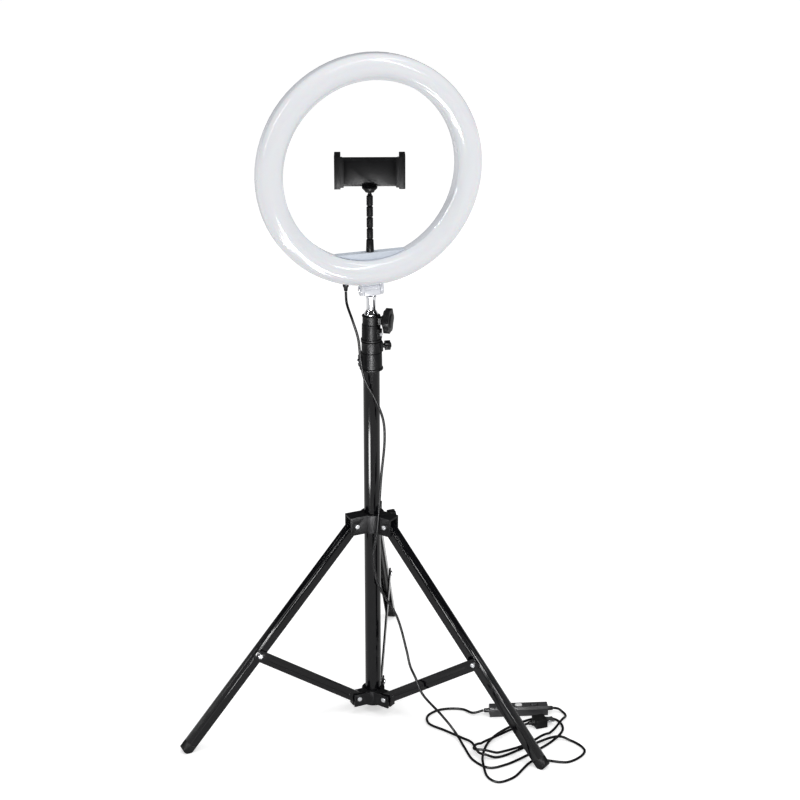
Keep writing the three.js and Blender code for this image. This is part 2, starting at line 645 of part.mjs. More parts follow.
// Lifts every sample that passes over an earlier one already lying, in a long low hump.
function layDown(samples, laid, rest) {
  const reach = 12 * cord.radius;
  const lift = 2 * cord.radius + 0.9;
  const skip = 30;
  const spacing = samples[0].distanceTo(samples[1]);
  const landed = samples.findIndex((p) => p.z <= rest + 0.2);
  samples.forEach((p, i) => {
    let height = Math.max(p.z, rest);
    const passOver = (q) => {
      const apart = Math.hypot(p.x - q.x, p.y - q.y);
      if (apart >= reach) return;
      const share = 0.5 + 0.5 * Math.cos((Math.PI * Math.max(0, apart - 1)) / (reach - 1));
      height = Math.max(height, rest + (q.z - rest + lift) * share);
    };
    if (i >= landed) laid.forEach(passOver);
    samples.slice(landed, Math.max(landed, i - Math.ceil(skip / spacing))).forEach(passOver);
    p.z = height;
  });
  return samples.slice();
}

function tubeAlong(samples, steps) {
  const section = new THREE.Shape();
  const sides = 8;
  for (let i = 0; i < sides; i++) {
    const turn = (2 * Math.PI * (i + 0.5)) / sides;
    const [x, y] = [cord.radius * Math.cos(turn), cord.radius * Math.sin(turn)];
    if (i) section.lineTo(x, y);
    else section.moveTo(x, y);
  }
  section.closePath();
  const path = new THREE.CatmullRomCurve3(samples, false, 'centripetal');
  return new THREE.ExtrudeGeometry(section, { steps, extrudePath: path, bevelEnabled: false });
}

// Where the cord meets the controller's left (-1) or right (+1) relief.
function controllerEnd(side, outward, z = controller.height / 2) {
  const reach = side * (controller.half + controller.reach + 0.5 + outward);
  const turn = radians(controller.yaw);
  return [controller.x + reach * Math.cos(turn), controller.y + reach * Math.sin(turn), z];
}

const asVector = ([x, y, z = cord.radius]) => new THREE.Vector3(x, y, z);
const mainPoints = [...hangingRoute, ...floorRoute, controllerEnd(-1, 14, 3.6), controllerEnd(-1, 0)];
const tailPoints = [controllerEnd(1, 0), controllerEnd(1, 7, 5.4), ...tailRoute,
  [plug.x - 9.5, plug.y - 3.1, 4.2], [plug.x + 0.1, plug.y, plug.radius + 0.2]];
const mainLaid = layDown(sampledPlan(mainPoints.map(asVector), 5), [], cord.radius);
const tailLaid = layDown(sampledPlan(tailPoints.map(asVector), 5), mainLaid, cord.radius);
place(floorFrame, 'cord_main', 'rubber', tubeAlong(mainLaid, cord.steps));
place(floorFrame, 'cord_tail', 'rubber', tubeAlong(tailLaid, cord.tailSteps));

export default stand;
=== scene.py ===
import bpy
import json
import math
from mathutils import Matrix, Vector


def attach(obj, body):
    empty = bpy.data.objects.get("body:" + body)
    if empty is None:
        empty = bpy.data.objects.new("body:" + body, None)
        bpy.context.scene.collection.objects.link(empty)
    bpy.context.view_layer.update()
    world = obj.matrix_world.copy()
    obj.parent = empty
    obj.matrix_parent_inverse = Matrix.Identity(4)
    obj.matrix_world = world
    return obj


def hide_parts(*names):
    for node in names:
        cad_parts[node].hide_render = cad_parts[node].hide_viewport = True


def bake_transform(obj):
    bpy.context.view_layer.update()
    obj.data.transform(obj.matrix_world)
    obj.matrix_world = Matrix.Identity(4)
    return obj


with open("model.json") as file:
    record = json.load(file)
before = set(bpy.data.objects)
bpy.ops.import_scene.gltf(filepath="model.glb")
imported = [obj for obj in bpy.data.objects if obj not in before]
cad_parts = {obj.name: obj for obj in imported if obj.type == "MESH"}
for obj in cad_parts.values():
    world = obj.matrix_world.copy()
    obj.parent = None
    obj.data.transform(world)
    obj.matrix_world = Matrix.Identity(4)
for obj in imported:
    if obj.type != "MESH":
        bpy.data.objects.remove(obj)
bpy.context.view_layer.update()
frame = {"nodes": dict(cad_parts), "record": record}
nodes = frame["nodes"]
bodyOf = {node: body for body, names in frame["record"]["behaviour"]["bodies"].items() for node in names}
mm = 0.001
columnAt = Vector((0.0136, -0.0564, 0.0))
headYaw = math.radians(18.7)
headHeight = 0.776
headAt = Matrix.Translation(columnAt + Vector((0, 0, headHeight))) @ Matrix.Rotation(headYaw, 4, "Z")


def say(stage):
    print("stage:", stage)


# camera
cameraView = {
    "eye": (0.0136, -2.4011, 1.3715),
    "pitchDown": 21.14,  # degrees below level
    "pan": 0.92,  # degrees toward +X
    "lens": 85.3,
    "sensor": 36,
}


def makeCamera(view):
    data = bpy.data.cameras.new("studioCamera")
    data.lens = view["lens"]
    data.sensor_width = view["sensor"]
    data.clip_end = 50
    camera = bpy.data.objects.new("studioCamera", data)
    camera.location = view["eye"]
    camera.rotation_euler = (math.radians(90 - view["pitchDown"]), 0, math.radians(-view["pan"]))
    bpy.context.collection.objects.link(camera)
    bpy.context.scene.camera = camera


makeCamera(cameraView)
say("camera")

# cords: the routes are metres from the column's foot
cordShape = {
    "radius": 0.00175,
    "reach": 0.021,  # how far from a crossing the upper strand starts to rise
    "lift": 0.0044,  # how much higher it lies there
    "skip": 0.03,  # its own last stretch, which it does not cross
    "spacing": 0.0025,  # between samples along it
}
hangingRoute = [
    (-0.0325, -0.0068, 0.6178), (-0.0315, -0.009, 0.603), (-0.024, -0.018, 0.582), (-0.017, -0.017, 0.557),
    (-0.014, -0.016, 0.527), (-0.009, -0.017, 0.501), (0.005, -0.017, 0.472), (0.015, -0.015, 0.443),
    (0.017, -0.014, 0.415), (0.012, -0.015, 0.357), (0.007, -0.022, 0.29), (0.001, -0.021, 0.24),
    (0.009, -0.02, 0.199), (0.033, -0.022, 0.154), (0.046, -0.032, 0.108), (0.051, -0.044, 0.089),
    (0.058, -0.057, 0.078), (0.067, -0.069, 0.06), (0.092, -0.072, 0.03), (0.104, -0.076, 0.016),
    (0.112, -0.084, 0.008), (0.118, -0.096, 0.0034),
]
floorRoute = [
    (0.123, -0.112), (0.134, -0.146), (0.154, -0.165), (0.176, -0.158), (0.203, -0.138), (0.245, -0.098),
    (0.262, -0.066), (0.254, -0.042), (0.23, -0.038), (0.19, -0.06), (0.158, -0.098), (0.146, -0.148),
    (0.152, -0.19), (0.164, -0.2), (0.184, -0.19), (0.217, -0.148), (0.262, -0.152), (0.286, -0.124),
    (0.262, -0.094), (0.212, -0.112), (0.17, -0.138), (0.146, -0.14), (0.133, -0.102), (0.1, -0.07),
    (0.077, -0.05), (0.076, -0.03), (0.094, -0.013), (0.125, -0.012),
]
tailRoute = [
    (0.266, -0.022), (0.269, -0.032), (0.264, -0.046), (0.246, -0.076), (0.216, -0.109), (0.176, -0.131),
    (0.15, -0.136), (0.136, -0.13), (0.138, -0.118), (0.163, -0.096), (0.193, -0.07),
]
controllerAt = {"centre": (0.2035, -0.022), "yaw": 3, "half": 0.041, "reach": 0.0085, "axis": 0.007}
plugAt = {"entry": (0.2045, -0.0631, 0.0042), "inside": (0.2141, -0.06, 0.0064)}


def controllerEnd(side, outward, z=controllerAt["axis"]):  # a point on the case's axis, past one of its ends
    reach = side * (controllerAt["half"] + controllerAt["reach"] + outward)
    turn = math.radians(controllerAt["yaw"])
    x, y = controllerAt["centre"]
    return (x + reach * math.cos(turn), y + reach * math.sin(turn), z)


def smoothPath(points, perSpan=24):  # centripetal curve through every point
    first, last = points[0] * 2 - points[1], points[-1] * 2 - points[-2]
    held = [first, *points, last]
    made = []
    for i in range(1, len(held) - 2):
        a, b, c, d = held[i - 1:i + 3]
        ab, bc, cd = ((q - p).length ** 0.5 for p, q in ((a, b), (b, c), (c, d)))
        into = ((b - a) / ab - (c - a) / (ab + bc) + (c - b) / bc) * bc
        out = ((c - b) / bc - (d - b) / (bc + cd) + (d - c) / cd) * bc
        for step in range(perSpan):
            t = step / perSpan
            made.append(b + into * t + (3 * (c - b) - 2 * into - out) * t ** 2
                        + (2 * (b - c) + into + out) * t ** 3)
    return [*made, points[-1]]


def evenly(path, spacing):
    travelled = [0.0]
    for p, q in zip(path, path[1:]):
        travelled.append(travelled[-1] + (q - p).length)
    count = round(travelled[-1] / spacing)
    made, at = [], 0
    for k in range(count + 1):
        want = travelled[-1] * k / count
        while at < len(path) - 2 and travelled[at + 1] < want:
            at += 1
        share = (want - travelled[at]) / max(travelled[at + 1] - travelled[at], 1e-9)
        made.append(path[at].lerp(path[at + 1], share))
    return made


def layDown(samples, laid):  # lifts each sample that passes over a strand already lying
    rest, reach, lift = cordShape["radius"], cordShape["reach"], cordShape["lift"]
    landed = next(i for i, p in enumerate(samples) if p.z <= rest + 0.0002)
    skip = math.ceil(cordShape["skip"] / cordShape["spacing"])
    for i, p in enumerate(samples):
        height = max(p.z, rest)
        under = (laid if i >= landed else []) + samples[landed:max(landed, i - skip)]
        for q in under:
            apart = math.hypot(p.x - q.x, p.y - q.y)
            if apart < reach:
                share = 0.5 + 0.5 * math.cos(math.pi * max(0, apart - 0.001) / (reach - 0.001))
                height = max(height, rest + (q.z - rest + lift) * share)
        p.z = height
    return samples


def route(points):
    held = [Vector(p) if len(p) == 3 else Vector((*p, cordShape["radius"])) for p in points]
    return evenly(smoothPath(held), cordShape["spacing"])


mainLine = layDown(route([*hangingRoute, *floorRoute, controllerEnd(-1, 0.014, 0.0036),
                          controllerEnd(-1, 0)]), [])
tailLine = layDown(route([controllerEnd(1, 0), controllerEnd(1, 0.007, 0.0054), *tailRoute,
                          plugAt["entry"], plugAt["inside"]]), mainLine)
mainLine = [p + columnAt for p in mainLine]
tailLine = [p + columnAt for p in tailLine]


def lengthOf(line):
    return sum((q - p).length for p, q in zip(line, line[1:]))


def meshOf(thing, name):  # a plain mesh at the origin from any object, modifiers and all
    bpy.context.view_layer.update()
    depsgraph = bpy.context.evaluated_depsgraph_get()
    data = bpy.data.meshes.new_from_object(thing.evaluated_get(depsgraph), depsgraph=depsgraph)
    data.transform(thing.matrix_world)
    bpy.data.objects.remove(thing)
    made = bpy.data.objects.new(name, data)
    bpy.context.collection.objects.link(made)
    return made


def smoothFaces(data, sharpOver=None):  # edges past sharpOver degrees stay sharp
    for face in data.polygons:
        face.use_smooth = True
    if sharpOver is not None:
        data.set_sharp_from_angle(angle=math.radians(sharpOver))


def cordTube(name, line):
    data = bpy.data.curves.new(name, "CURVE")
    data.dimensions = "3D"
    data.bevel_depth = cordShape["radius"]
    data.bevel_resolution = 4
    data.use_fill_caps = True
    spline = data.splines.new("POLY")
    spline.points.add(len(line) - 1)
    for point, place in zip(spline.points, line):
        point.co = (*place, 1)
    curve = bpy.data.objects.new(name + "Line", data)
    bpy.context.collection.objects.link(curve)
    tube = meshOf(curve, name)
    smoothFaces(tube.data)
    return tube


mainCord = cordTube("mainCord", mainLine)
tailCord = cordTube("tailCord", tailLine)
print("cord lengths", round(lengthOf(mainLine), 4), round(lengthOf(tailLine), 4))
say("cords")


# shader groups and the nodes they are made of
def socket(tree, name, kind, way, value=None):
    made = tree.interface.new_socket(name, in_out=way, socket_type=kind)
    if value is not None:
        made.default_value = value
    return made


def link(tree, a, b):
    tree.links.new(a, b)


def feed(tree, value, target):  # a socket is linked, anything else is set
    if isinstance(value, bpy.types.NodeSocket):
        link(tree, value, target)
    else:
        target.default_value = value


def mixNode(tree, factor, low, high):
    mix = tree.nodes.new("ShaderNodeMix")
    mix.data_type = "RGBA"
    link(tree, factor, mix.inputs[0])
    feed(tree, low, mix.inputs[6])
    feed(tree, high, mix.inputs[7])
    return mix.outputs[2]


def rangeNode(tree, value, low, high, fromLow=0.3, fromHigh=0.7):
    node = tree.nodes.new("ShaderNodeMapRange")
    node.inputs["From Min"].default_value = fromLow
    node.inputs["From Max"].default_value = fromHigh
    link(tree, value, node.inputs["Value"])
    feed(tree, low, node.inputs["To Min"])
    feed(tree, high, node.inputs["To Max"])
    return node.outputs["Result"]


def noiseNode(tree, position, scale, detail):
    noise = tree.nodes.new("ShaderNodeTexNoise")
    noise.inputs["Detail"].default_value = detail
    link(tree, position, noise.inputs["Vector"])
    feed(tree, scale, noise.inputs["Scale"])
    return noise.outputs["Fac"]


surfaceLook = {
    "driftScale": 35.0,  # slow change of colour and roughness over a piece
    "bumpHeight": 0.0001,
    "patchScale": 160.0, "patchFrom": 0.5, "patchTo": 0.7,  # where rubbing shows
    "edgeFrom": 0.6, "edgeTo": 0.8,
    "dustScale": 420.0, "dustTone": (0.5, 0.49, 0.47, 1), "dustSlope": 0.5,
}


def buildGrainGroup():  # fine moulding grain: colour drift, roughness drift and a shallow bump
    tree = bpy.data.node_groups.new("fineGrain", "ShaderNodeTree")
    socket(tree, "Position", "NodeSocketVector", "INPUT")
    socket(tree, "Light Tone", "NodeSocketColor", "INPUT")
    socket(tree, "Dark Tone", "NodeSocketColor", "INPUT")
    socket(tree, "Smoothest", "NodeSocketFloat", "INPUT", 0.3)
    socket(tree, "Roughest", "NodeSocketFloat", "INPUT", 0.4)
    socket(tree, "Grain Scale", "NodeSocketFloat", "INPUT", 1500)
    socket(tree, "Grain Depth", "NodeSocketFloat", "INPUT", 0.1)
    socket(tree, "Color", "NodeSocketColor", "OUTPUT")
    socket(tree, "Roughness", "NodeSocketFloat", "OUTPUT")
    socket(tree, "Normal", "NodeSocketVector", "OUTPUT")
    given = tree.nodes.new("NodeGroupInput")
    result = tree.nodes.new("NodeGroupOutput")
    drift = noiseNode(tree, given.outputs["Position"], surfaceLook["driftScale"], 3.0)
    speck = noiseNode(tree, given.outputs["Position"], given.outputs["Grain Scale"], 1.0)
    link(tree, mixNode(tree, drift, given.outputs["Dark Tone"], given.outputs["Light Tone"]),
         result.inputs["Color"])
    link(tree, rangeNode(tree, drift, given.outputs["Smoothest"], given.outputs["Roughest"]),
         result.inputs["Roughness"])
    bump = tree.nodes.new("ShaderNodeBump")
    bump.inputs["Distance"].default_value = surfaceLook["bumpHeight"]
    link(tree, given.outputs["Grain Depth"], bump.inputs["Strength"])
    link(tree, speck, bump.inputs["Height"])
    link(tree, bump.outputs["Normal"], result.inputs["Normal"])
    return tree


def buildWearGroup():  # faint rubbed patches along convex edges and a little dust on faces that look up
    tree = bpy.data.node_groups.new("rubAndDust", "ShaderNodeTree")
    socket(tree, "Position", "NodeSocketVector", "INPUT")
    socket(tree, "Color", "NodeSocketColor", "INPUT")
    socket(tree, "Rubbed Tone", "NodeSocketColor", "INPUT")
    socket(tree, "Rub", "NodeSocketFloat", "INPUT", 0.3)
    socket(tree, "Dust", "NodeSocketFloat", "INPUT", 0.05)
    socket(tree, "Color", "NodeSocketColor", "OUTPUT")
    given = tree.nodes.new("NodeGroupInput")
    result = tree.nodes.new("NodeGroupOutput")
    geometry = tree.nodes.new("ShaderNodeNewGeometry")
    look = surfaceLook
    blotches = noiseNode(tree, given.outputs["Position"], look["patchScale"], 4.0)
    patches = rangeNode(tree, blotches, 0.0, 1.0, look["patchFrom"], look["patchTo"])
    edges = rangeNode(tree, geometry.outputs["Pointiness"], 0.0, 1.0, look["edgeFrom"], look["edgeTo"])

    def product(a, b):
        node = tree.nodes.new("ShaderNodeMath")
        node.operation = "MULTIPLY"
        link(tree, a, node.inputs[0])
        link(tree, b, node.inputs[1])
        return node.outputs[0]

    rub = product(product(patches, edges), given.outputs["Rub"])
    worn = mixNode(tree, rub, given.outputs["Color"], given.outputs["Rubbed Tone"])
    split = tree.nodes.new("ShaderNodeSeparateXYZ")
    link(tree, geometry.outputs["Normal"], split.inputs[0])
    upward = rangeNode(tree, split.outputs["Z"], 0.0, 1.0, look["dustSlope"], 1.0)
    specks = noiseNode(tree, given.outputs["Position"], look["dustScale"], 3.0)
    dust = product(product(upward, specks), given.outputs["Dust"])
    link(tree, mixNode(tree, dust, worn, look["dustTone"]), result.inputs["Color"])
    return tree


grainGroup = buildGrainGroup()
wearGroup = buildWearGroup()

finishes = {
    "pearlWhite": {"light": (0.86, 0.88, 0.93), "dark": (0.83, 0.85, 0.91), "rough": (0.22, 0.3),
                   "grain": 2600, "depth": 0.05, "coat": 0.3},
    "milkDiffuser": {"light": (0.9, 0.9, 0.935), "dark": (0.88, 0.885, 0.925), "rough": (0.12, 0.17),
                     "grain": 900, "depth": 0.015, "coat": 0.5, "soft": 0.15},
    "shelfBlue": {"light": (0.72, 0.78, 0.86), "dark": (0.69, 0.75, 0.84), "rough": (0.25, 0.33),
                  "grain": 2600, "depth": 0.05, "coat": 0.2},
    "boardWhite": {"light": (0.78, 0.8, 0.74), "dark": (0.7, 0.73, 0.66), "rough": (0.5, 0.65),
                   "grain": 1200, "depth": 0.2},
    "satinBlack": {"light": (0.008, 0.008, 0.009), "dark": (0.005, 0.005, 0.006), "rough": (0.34, 0.46),
                   "grain": 3200, "depth": 0.3, "shine": 0.14, "rubbed": (0.05, 0.05, 0.055), "rub": 0.25,
                   "dust": 0.004},
    "paintBlack": {"light": (0.004, 0.004, 0.005), "dark": (0.002, 0.002, 0.003), "rough": (0.06, 0.09),
                   "grain": 400, "depth": 0.004, "shine": 0.3, "rubbed": (0.06, 0.06, 0.065), "rub": 0.2,
                   "dust": 0.002},
    "rubberBlack": {"light": (0.008, 0.008, 0.008), "dark": (0.004, 0.004, 0.005), "rough": (0.4, 0.55),
                    "grain": 2200, "depth": 0.4, "shine": 0.16, "dust": 0.015},
    "cordBlack": {"light": (0.006, 0.006, 0.007), "dark": (0.003, 0.003, 0.004), "rough": (0.26, 0.36),
                  "grain": 1800, "depth": 0.1, "shine": 0.16},
    "chrome": {"light": (0.86, 0.87, 0.9), "dark": (0.8, 0.81, 0.84), "rough": (0.05, 0.1),
               "grain": 900, "depth": 0.02, "metal": 1.0},
    "platedSteel": {"light": (0.72, 0.73, 0.75), "dark": (0.6, 0.61, 0.63), "rough": (0.2, 0.32),
                    "grain": 2400, "depth": 0.1, "metal": 1.0},
    "buttonGrey": {"light": (0.82, 0.82, 0.82), "dark": (0.76, 0.76, 0.76), "rough": (0.4, 0.5),
                   "grain": 3000, "depth": 0.2},
    "caseGrey": {"light": (0.04, 0.04, 0.043), "dark": (0.03, 0.03, 0.032), "rough": (0.35, 0.45),
                 "grain": 2600, "depth": 0.4, "rubbed": (0.12, 0.12, 0.12), "rub": 0.3, "dust": 0.04},
}


def groupNode(tree, group):
    node = tree.nodes.new("ShaderNodeGroup")
    node.node_tree = group
    return node


def makeFinish(name, look):
    material = bpy.data.materials.new(name)
    material.use_nodes = True
    tree = material.node_tree
    shader = tree.nodes["Principled BSDF"]
    shader.inputs["Metallic"].default_value = look.get("metal", 0.0)
    shader.inputs["Specular IOR Level"].default_value = look.get("shine", 0.5)
    shader.inputs["Coat Weight"].default_value = look.get("coat", 0.0)
    shader.inputs["Coat Roughness"].default_value = 0.06
    shader.inputs["Subsurface Weight"].default_value = look.get("soft", 0.0)
    shader.inputs["Subsurface Scale"].default_value = 0.004
    position = tree.nodes.new("ShaderNodeTexCoord").outputs["Object"]
    grain = groupNode(tree, grainGroup)
    link(tree, position, grain.inputs["Position"])
    grain.inputs["Light Tone"].default_value = (*look["light"], 1)
    grain.inputs["Dark Tone"].default_value = (*look["dark"], 1)
    grain.inputs["Smoothest"].default_value, grain.inputs["Roughest"].default_value = look["rough"]
    grain.inputs["Grain Scale"].default_value = look["grain"]
    grain.inputs["Grain Depth"].default_value = look["depth"]
    colour = grain.outputs["Color"]
    if "dust" in look:
        wear = groupNode(tree, wearGroup)
        link(tree, position, wear.inputs["Position"])
        link(tree, colour, wear.inputs["Color"])
        wear.inputs["Rubbed Tone"].default_value = (*look.get("rubbed", (0.05, 0.05, 0.05)), 1)
        wear.inputs["Rub"].default_value = look.get("rub", 0.0)
        wear.inputs["Dust"].default_value = look["dust"]
        colour = wear.outputs["Color"]
    link(tree, colour, shader.inputs["Base Color"])
    link(tree, grain.outputs["Roughness"], shader.inputs["Roughness"])
    link(tree, grain.outputs["Normal"], shader.inputs["Normal"])
    return material


finishOf = {name: makeFinish(name, look) for name, look in finishes.items()}
say("finishes")


# dressed copies of the CAD nodes: the same shape, with smooth turned faces and eased edges
def wears(thing, finish):
    thing.data.materials.clear()
    thing.data.materials.append(finishOf[finish])


def dress(node, finish, smoothUnder=34, easedBy=0.0):
    source = nodes[node]
    data = source.data.copy()
    made = bpy.data.objects.new(node + "Skin", data)
    bpy.context.collection.objects.link(made)
    weld = made.modifiers.new("weld", "WELD")
    weld.merge_threshold = 0.00001
    if easedBy:
        flat = made.modifiers.new("flat", "DECIMATE")
        flat.decimate_type = "DISSOLVE"
        flat.angle_limit = math.radians(1)
        ease = made.modifiers.new("ease", "BEVEL")
        ease.width = easedBy
        ease.segments = 2
        ease.limit_method = "ANGLE"
        ease.angle_limit = math.radians(smoothUnder)
        ease.use_clamp_overlap = True
    made = meshOf(made, node + "Skin")
    smoothFaces(made.data, smoothUnder)
    wears(made, finish)
    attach(made, bodyOf[node])
    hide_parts(node)
    return made


dressing = {  # the finish, the slot and how far edges are eased, in metres
    "mount_shelf": ("shelfBlue", "white_plastic", 0.0006),
    "tilt_block": ("pearlWhite", "white_plastic", 0.0005),
    "rear_shell": ("pearlWhite", "white_plastic", 0),
    "led_board": ("boardWhite", "board", 0),
    "cable_gland": ("rubberBlack", "black_rubber", 0),
    "spigot": ("chrome", "chrome", 0),
    "outer_tube": ("paintBlack", "black_paint", 0),
    "mid_tube": ("paintBlack", "black_paint", 0),
    "top_tube": ("paintBlack", "black_paint", 0),
    "upper_collar": ("satinBlack", "black_plastic", 0.0003),
    "lower_collar": ("satinBlack", "black_plastic", 0.0003),
    "sliding_hub": ("satinBlack", "black_plastic", 0.0005),
    "base_hub": ("satinBlack", "black_plastic", 0.0005),
    "upper_knob": ("satinBlack", "black_plastic", 0.0006),
    "lower_knob": ("satinBlack", "black_plastic", 0.0004),
    "hub_knob": ("satinBlack", "black_plastic", 0.0004),
    "gooseneck_ferrule": ("satinBlack", "black_plastic", 0),
    "swivel_ball": ("satinBlack", "black_plastic", 0),
    "swivel_cup": ("satinBlack", "black_plastic", 0),
    "clamp_body": ("satinBlack", "black_plastic", 0.0008),
    "clamp_jaw": ("satinBlack", "black_plastic", 0.0008),
    "jaw_pad_fixed": ("rubberBlack", "black_rubber", 0.0003),
    "jaw_pad_moving": ("rubberBlack", "black_rubber", 0.0003),
    "controller_case": ("caseGrey", "black_plastic", 0.0005),
    "plug_body": ("rubberBlack", "black_rubber", 0.0006),
    "plug_shell": ("platedSteel", "bright_steel", 0.0001),
}
for n in (1, 2, 3):
    dressing[f"leg_{n}"] = ("paintBlack", "black_paint", 0)
    dressing[f"foot_{n}"] = ("rubberBlack", "black_rubber", 0.0004)
    dressing[f"strut_{n}"] = ("paintBlack", "black_paint", 0.0003)
    for pin in (f"leg_pin_{n}", f"strut_pin_{n}", f"strut_rivet_{n}"):
        dressing[pin] = ("platedSteel", "bright_steel", 0)
for n in (1, 2, 3, 4):
    dressing[f"gooseneck_{n}"] = ("satinBlack", "black_plastic", 0)
for node in ("tilt_pin", "upper_lug_screw", "lower_lug_screw"):
    dressing[node] = ("platedSteel", "bright_steel", 0)
for node in ("button_power", "button_colour"):
    dressing[node] = ("buttonGrey", "button_plastic", 0.0003)
dressing["button_bright"] = ("caseGrey", "black_plastic", 0.0003)

skins = {node: dress(node, finish, easedBy=ease) for node, (finish, slot, ease) in dressing.items()}
say("dressed nodes")

# diffuser: one smooth turned dome
diffuserShape = {"outer": 150, "inner": 117, "front": -4.3, "dome": -17,  # mm
                 "segments": 192, "steps": 20}


def bezier(a, b, c, d, steps):
    made = []
    for k in range(steps + 1):
        t = k / steps
        s = 1 - t
        made.append(tuple(s ** 3 * a[i] + 3 * s * s * t * b[i] + 3 * s * t * t * c[i] + t ** 3 * d[i]
                          for i in (0, 1)))
    return made


def ringTurned(name, outline, segments, place):  # a closed outline of (radius, depth), turned
    verts, faces = [], []
    count = len(outline)
    for k in range(segments):
        turn = 2 * math.pi * k / segments
        verts += [(r * mm * math.cos(turn), y * mm, r * mm * math.sin(turn)) for r, y in outline]
    for k in range(segments):
        for i in range(count):
            j, after = (i + 1) % count, (k + 1) % segments
            faces.append((k * count + i, k * count + j, after * count + j, after * count + i))
    data = bpy.data.meshes.new(name)
    data.from_pydata(verts, [], faces)
    data.transform(place)
    made = bpy.data.objects.new(name, data)
    bpy.context.collection.objects.link(made)
    volume = sum(p.center.dot(p.normal) * p.area for p in data.polygons)
    if volume < 0:
        data.flip_normals()
    smoothFaces(data, 50)
    return made


def makeDiffuser(shape):
    outer, inner, edge, dome = shape["outer"], shape["inner"], shape["front"], shape["dome"]
    face = bezier((outer, edge), (outer - 1, dome - 1), (inner + 10, dome - 6), (inner, edge - 3),
                  shape["steps"])
    lining = bezier((inner + 2, edge - 3), (inner + 10.6, dome - 3), (outer - 3, dome + 1.5),
                    (outer - 2, edge), shape["steps"])
    made = ringTurned("diffuserDome", face + lining, shape["segments"], headAt)
    wears(made, "milkDiffuser")
    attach(made, "ring_head")
    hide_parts("diffuser")


makeDiffuser(diffuserShape)
say("diffuser")


# repeated rings and screws, by geometry nodes
def geometryTree(name, inputs):
    tree = bpy.data.node_groups.new(name, "GeometryNodeTree")
    keys = {}
    for title, value in inputs.items():
        kind = "NodeSocketInt" if isinstance(value, int) else "NodeSocketFloat"
        keys[title] = socket(tree, title, kind, "INPUT", value).identifier
    tree.interface.new_socket("Geometry", in_out="OUTPUT", socket_type="NodeSocketGeometry")
    return tree, keys, tree.nodes.new("NodeGroupInput"), tree.nodes.new("NodeGroupOutput")


def closeTree(tree, instances, result, finish):
    realize = tree.nodes.new("GeometryNodeRealizeInstances")
    setMaterial = tree.nodes.new("GeometryNodeSetMaterial")
    setMaterial.inputs["Material"].default_value = finishOf[finish]
    link(tree, instances, realize.inputs[0])
    link(tree, realize.outputs[0], setMaterial.inputs["Geometry"])
    link(tree, setMaterial.outputs[0], result.inputs[0])


def ribTree(finish):  # rings set one after another along Z
    tree, keys, given, result = geometryTree("ribsAlong" + finish, {
        "Radius": 0.004, "Wire": 0.0004, "Length": 0.012, "Count": 8})
    line = tree.nodes.new("GeometryNodeMeshLine")
    line.mode = "END_POINTS"
    top = tree.nodes.new("ShaderNodeCombineXYZ")
    link(tree, given.outputs["Length"], top.inputs["Z"])
    link(tree, given.outputs["Count"], line.inputs["Count"])
    link(tree, top.outputs[0], line.inputs["Offset"])
    circle = tree.nodes.new("GeometryNodeCurvePrimitiveCircle")
    circle.inputs["Resolution"].default_value = 32
    link(tree, given.outputs["Radius"], circle.inputs["Radius"])
    wire = tree.nodes.new("GeometryNodeCurvePrimitiveCircle")
    wire.inputs["Resolution"].default_value = 8
    link(tree, given.outputs["Wire"], wire.inputs["Radius"])
    sweep = tree.nodes.new("GeometryNodeCurveToMesh")
    link(tree, circle.outputs["Curve"], sweep.inputs["Curve"])
    link(tree, wire.outputs["Curve"], sweep.inputs["Profile Curve"])
    copies = tree.nodes.new("GeometryNodeInstanceOnPoints")
    link(tree, line.outputs[0], copies.inputs["Points"])
    link(tree, sweep.outputs[0], copies.inputs["Instance"])
    closeTree(tree, copies.outputs[0], result, finish)
    return tree, keys


def screwTree(finish):  # flat-topped tapered screw heads, evenly round a circle that faces +Z
    tree, keys, given, result = geometryTree("screwCircle", {
        "Circle Radius": 0.13, "Head Radius": 0.0026, "Head Height": 0.0009, "Count": 8})
    circle = tree.nodes.new("GeometryNodeMeshCircle")
    link(tree, given.outputs["Count"], circle.inputs["Vertices"])
    link(tree, given.outputs["Circle Radius"], circle.inputs["Radius"])
    head = tree.nodes.new("GeometryNodeMeshCone")
    head.inputs["Vertices"].default_value = 20
    taper = tree.nodes.new("ShaderNodeMath")
    taper.operation = "MULTIPLY"
    taper.inputs[1].default_value = 0.72  # top of the head against its foot
    link(tree, given.outputs["Head Radius"], taper.inputs[0])
    link(tree, given.outputs["Head Radius"], head.inputs["Radius Bottom"])
    link(tree, taper.outputs[0], head.inputs["Radius Top"])
    link(tree, given.outputs["Head Height"], head.inputs["Depth"])
    copies = tree.nodes.new("GeometryNodeInstanceOnPoints")
    link(tree, circle.outputs[0], copies.inputs["Points"])
    link(tree, head.outputs[0], copies.inputs["Instance"])
    closeTree(tree, copies.outputs[0], result, finish)
    return tree, keys


def grown(name, tree, keys, values, place, body):
    holder = bpy.data.objects.new(name + "Grower", bpy.data.meshes.new(name))
    bpy.context.collection.objects.link(holder)
    holder.matrix_world = place
    modifier = holder.modifiers.new("grow", "NODES")
    modifier.node_group = tree
    for title, value in values.items():
        modifier[keys[title]] = value
    made = meshOf(holder, name)
    smoothFaces(made.data, 40)
    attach(made, body)


